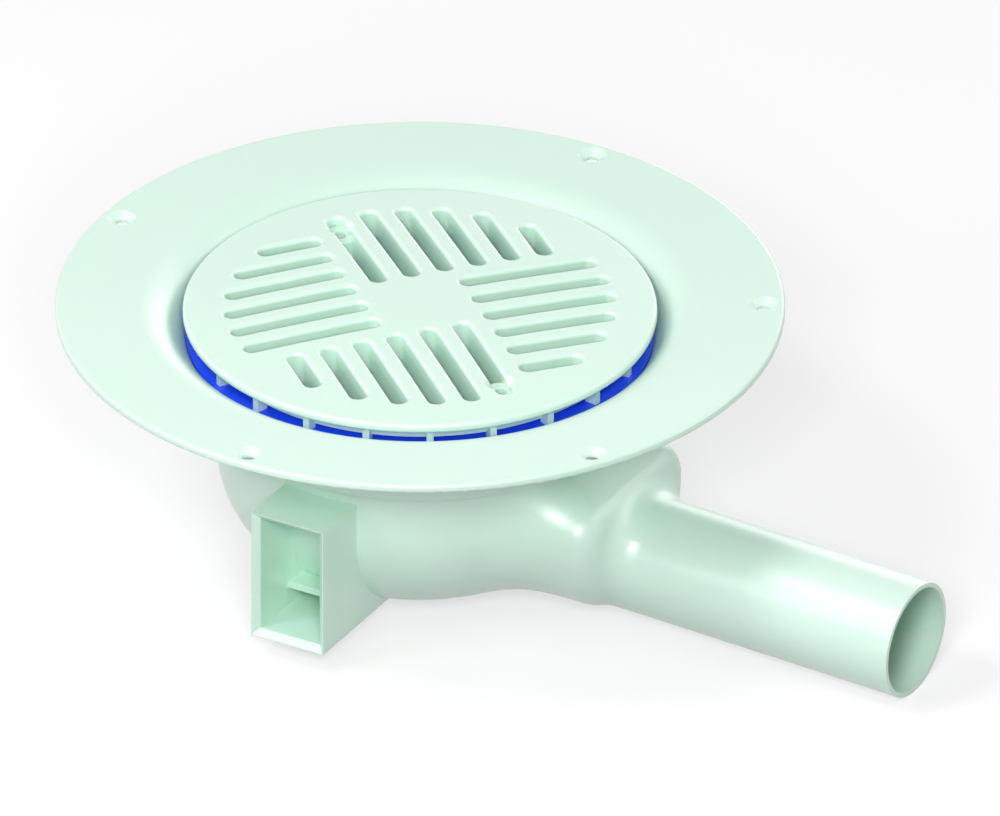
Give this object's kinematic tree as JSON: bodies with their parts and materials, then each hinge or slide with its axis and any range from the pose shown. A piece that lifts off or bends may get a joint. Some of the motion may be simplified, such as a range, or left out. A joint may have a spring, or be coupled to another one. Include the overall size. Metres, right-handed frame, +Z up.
{
  "type": "floor drain",
  "caption": "Round floor drain with a slotted lift-out grate, screw-down flange, clamp ring, dip-tube water trap and a sloping side outlet pipe.",
  "frame": {"origin": "centre of the flange, in the plane of its upper edge", "axes": "+Z up, +X along the outlet pipe, -Y towards the bracket socket"},
  "size_m": [0.3911, 0.304, 0.1192],
  "materials": {
    "pale_plastic": "smooth glossy moulded plastic",
    "blue_plastic": "smooth glossy moulded plastic",
    "seal_rubber": "matt black rubber"
  },
  "bodies": {
    "root": {"drain_body": "pale_plastic", "grate": "pale_plastic", "clamp_ring": "blue_plastic", "trap_insert": "pale_plastic", "trap_gasket": "seal_rubber"}
  },
  "joints": []
}
